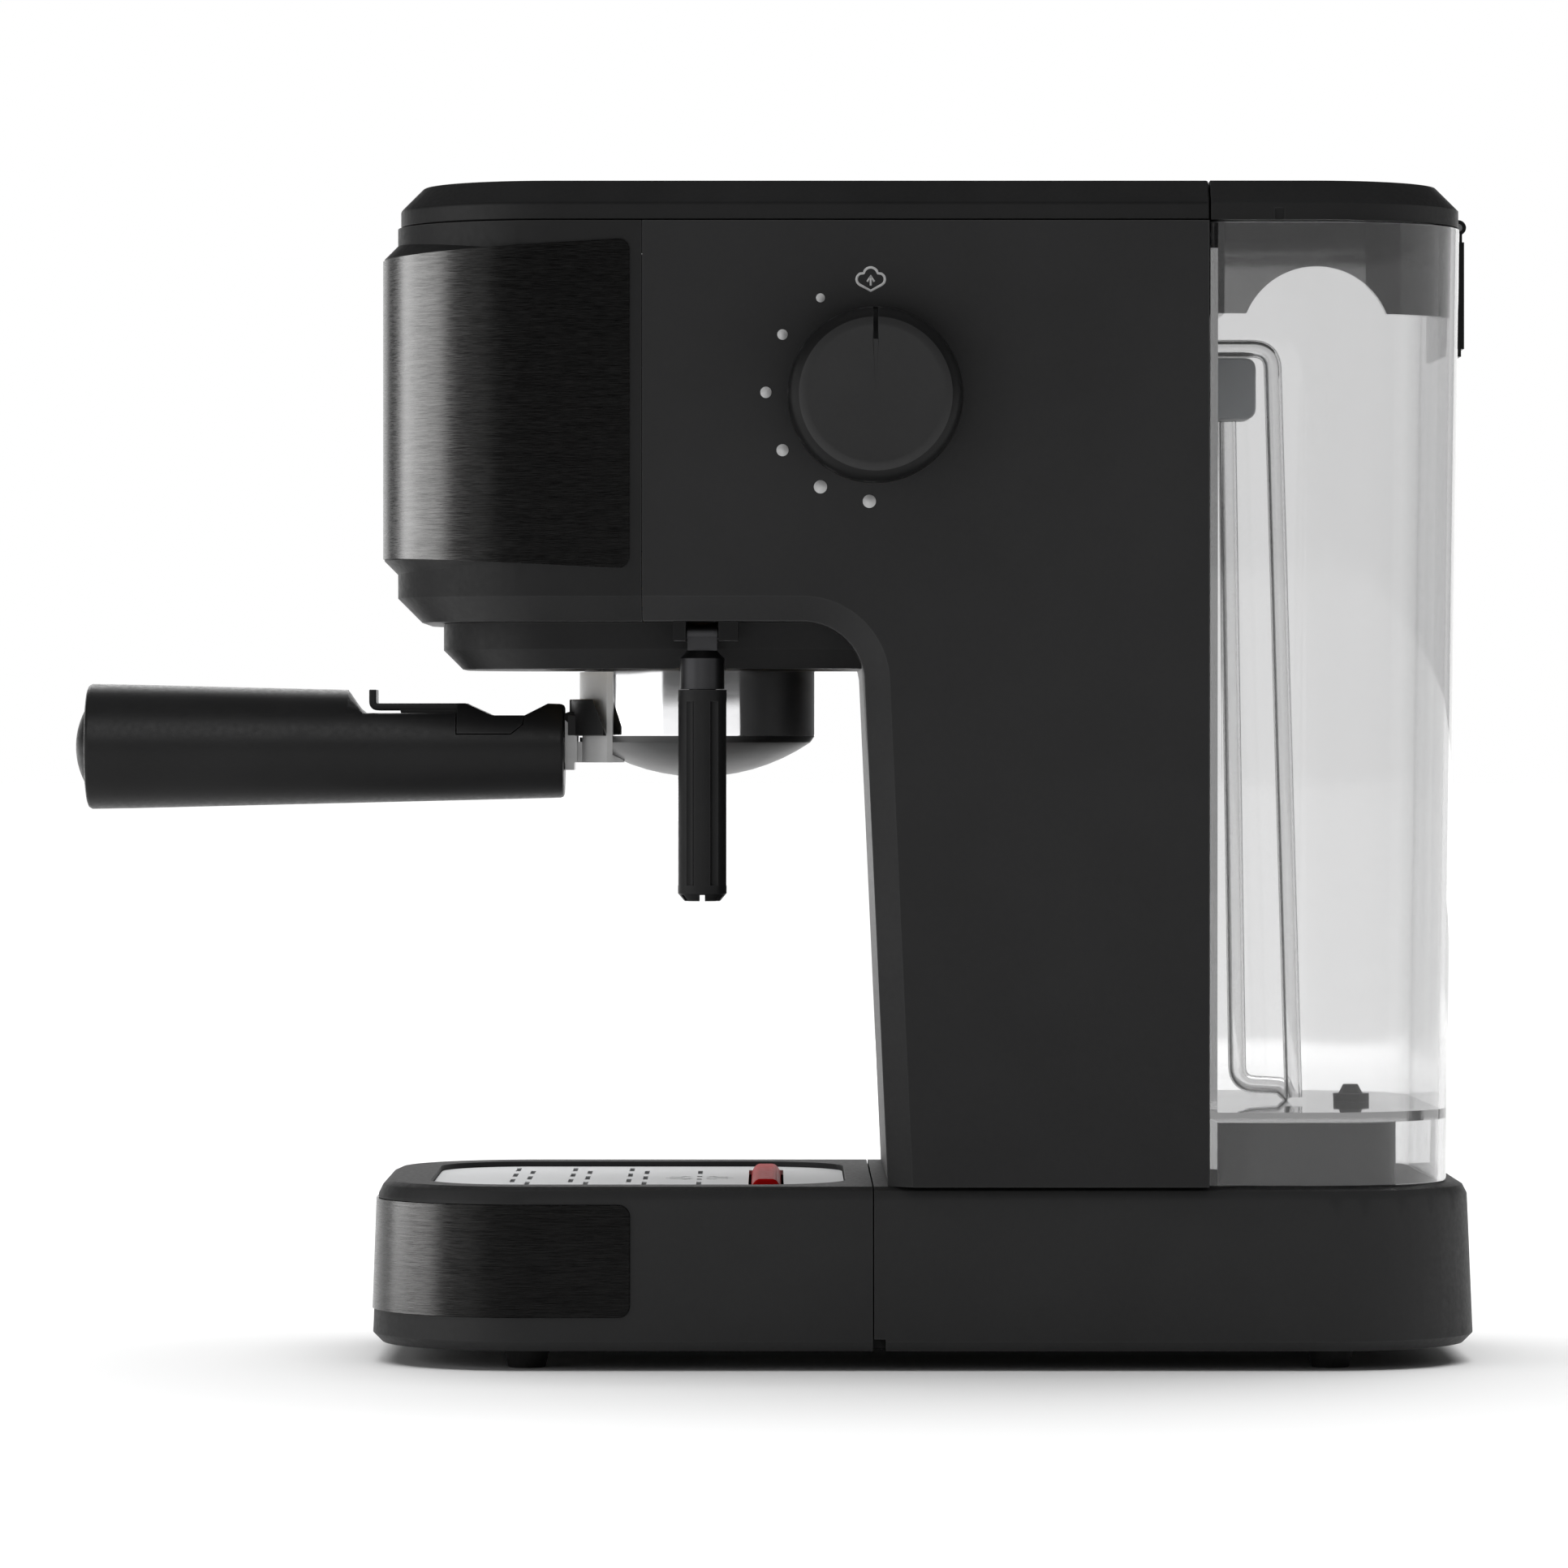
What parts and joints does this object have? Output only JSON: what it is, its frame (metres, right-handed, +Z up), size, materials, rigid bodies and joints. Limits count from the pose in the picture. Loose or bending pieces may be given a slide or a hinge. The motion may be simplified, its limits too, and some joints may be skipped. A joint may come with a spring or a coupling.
{
  "type": "espresso machine",
  "caption": "Slim pump espresso machine with a removable rear water tank, drip tray, steam wand and locking portafilter.",
  "frame": {"origin": "on the counter, straight below the brew axis, in the body's mid-plane", "axes": "+Z up, the front towards -Y, the user's right towards +X"},
  "size_m": [0.1612, 0.3667, 0.305],
  "materials": {
    "charcoal_plastic": "moulded, fine satin texture",
    "dark_plastic": "moulded, satin",
    "black_plastic": "moulded, satin",
    "brushed_black_steel": "horizontally brushed, black tinted",
    "brushed_steel": "brushed",
    "polished_steel": "mirror polished",
    "bare_steel": "turned or rolled",
    "clear_plastic": "clear, lightly smoked",
    "smoked_plastic": "clear, smoked grey",
    "black_steel": "blackened",
    "gauge_glass": "clear",
    "red_plastic": "moulded, glossy",
    "white_dial": "printed dial",
    "grey_plastic": "moulded",
    "black_rubber": "moulded rubber",
    "brass": "machined",
    "cast_aluminium": "cast",
    "copper": "drawn copper tube",
    "circuit_board": "solder mask",
    "cream_plastic": "moulded",
    "silicone": "translucent silicone"
  },
  "bodies": {
    "machine": {"feet": "black_rubber", "base_plate": "dark_plastic", "base_housing": "charcoal_plastic", "tank_dock": "dark_plastic", "cord_gland": "black_plastic", "side_cover_right": "charcoal_plastic", "side_cover_left": "charcoal_plastic", "arch_liner": "dark_plastic", "front_shroud": "dark_plastic", "head_band": "brushed_black_steel", "rear_wall": "dark_plastic", "top_cover": "dark_plastic", "cup_plate": "brushed_steel", "group_skirt": "dark_plastic", "group_head": "brass", "group_gasket": "black_rubber", "shower_screen": "bare_steel", "screen_screw": "bare_steel", "boiler": "cast_aluminium", "heating_element": "copper", "pump_body": "cream_plastic", "pump_coil": "copper", "pump_bracket": "bare_steel", "steam_valve": "brass", "control_board": "circuit_board", "water_hose": "silicone", "steam_pipe": "copper", "gauge_bezel": "polished_steel", "gauge_dial": "white_dial", "gauge_lens": "gauge_glass", "wand_bracket": "black_plastic"},
    "needle": {"gauge_needle": "red_plastic"},
    "power_button": {"button_power": "black_plastic"},
    "coffee_button": {"button_coffee": "black_plastic"},
    "steam_button": {"button_steam": "black_plastic"},
    "steam_knob": {"knob": "black_plastic", "valve_spindle": "bare_steel"},
    "wand": {"wand_tube": "black_steel", "wand_tip": "bare_steel"},
    "sleeve": {"wand_sleeve": "black_plastic"},
    "portafilter": {"portafilter_cup": "polished_steel", "filter_basket": "bare_steel", "spout": "polished_steel", "portafilter_neck": "bare_steel", "handle": "black_plastic", "handle_cap": "black_plastic"},
    "lever": {"basket_lever": "black_plastic"},
    "tray": {"tray_tub": "charcoal_plastic", "tray_band": "brushed_black_steel"},
    "tray_grille": {"grille": "brushed_steel"},
    "tray_float": {"float": "red_plastic"},
    "tank": {"tank_shell": "clear_plastic", "tank_collar": "smoked_plastic", "tank_grip": "black_plastic", "pickup_tubes": "clear_plastic", "tube_clip": "grey_plastic", "lid_pin": "bare_steel"},
    "valve": {"tank_valve": "black_rubber"},
    "lid": {"tank_lid": "dark_plastic"}
  },
  "joints": [
    {"name": "power_press", "type": "slide", "parent": "machine", "child": "power_button", "axis": [0, 1, 0], "range_m": [0, 0.0015], "stiffness_N_per_m": 600},
    {"name": "coffee_press", "type": "slide", "parent": "machine", "child": "coffee_button", "axis": [0, 1, 0], "range_m": [0, 0.0015], "stiffness_N_per_m": 600},
    {"name": "steam_press", "type": "slide", "parent": "machine", "child": "steam_button", "axis": [0, 1, 0], "range_m": [0, 0.0015], "stiffness_N_per_m": 600},
    {"name": "needle_turn", "type": "hinge", "parent": "machine", "child": "needle", "pos_m": [0, -0.078, 0.259], "axis": [0, 1, 0], "range_deg": [0, 270], "stiffness_Nm_per_rad": 0.0005},
    {"name": "knob_turn", "type": "hinge", "parent": "machine", "child": "steam_knob", "pos_m": [0.073, 0.0455, 0.2494], "axis": [1, 0, 0], "range_deg": [0, 180]},
    {"name": "wand_swing", "type": "hinge", "parent": "machine", "child": "wand", "pos_m": [0.056, 0.0012, 0.1891], "axis": [0, -1, 0], "range_deg": [0, 30]},
    {"name": "sleeve_pull", "type": "slide", "parent": "wand", "child": "sleeve", "axis": [0, 0, -1], "range_m": [0, 0.055]},
    {"name": "portafilter_turn", "type": "hinge", "parent": "machine", "child": "portafilter", "pos_m": [0, 0, 0.18], "axis": [0, 0, 1], "range_deg": [-45, 0]},
    {"name": "lever_flip", "type": "hinge", "parent": "portafilter", "child": "lever", "pos_m": [0, -0.0338, 0.166], "axis": [-1, 0, 0], "range_deg": [0, 9]},
    {"name": "tray_pull", "type": "slide", "parent": "machine", "child": "tray", "axis": [0, -1, 0], "range_m": [0, 0.15]},
    {"name": "grille_lift", "type": "slide", "parent": "tray", "child": "tray_grille", "axis": [0, 0, 1], "range_m": [0, 0.04]},
    {"name": "float_rise", "type": "slide", "parent": "tray", "child": "tray_float", "axis": [0, 0, 1], "range_m": [0, 0.005]},
    {"name": "tank_lift", "type": "slide", "parent": "machine", "child": "tank", "axis": [0, 0, 1], "range_m": [0, 0.12]},
    {"name": "lid_swing", "type": "hinge", "parent": "tank", "child": "lid", "pos_m": [0, 0.1997, 0.2962], "axis": [-1, 0, 0], "range_deg": [0, 100]},
    {"name": "valve_push", "type": "slide", "parent": "tank", "child": "valve", "axis": [0, 0, 1], "range_m": [0, 0.002], "stiffness_N_per_m": 100}
  ]
}
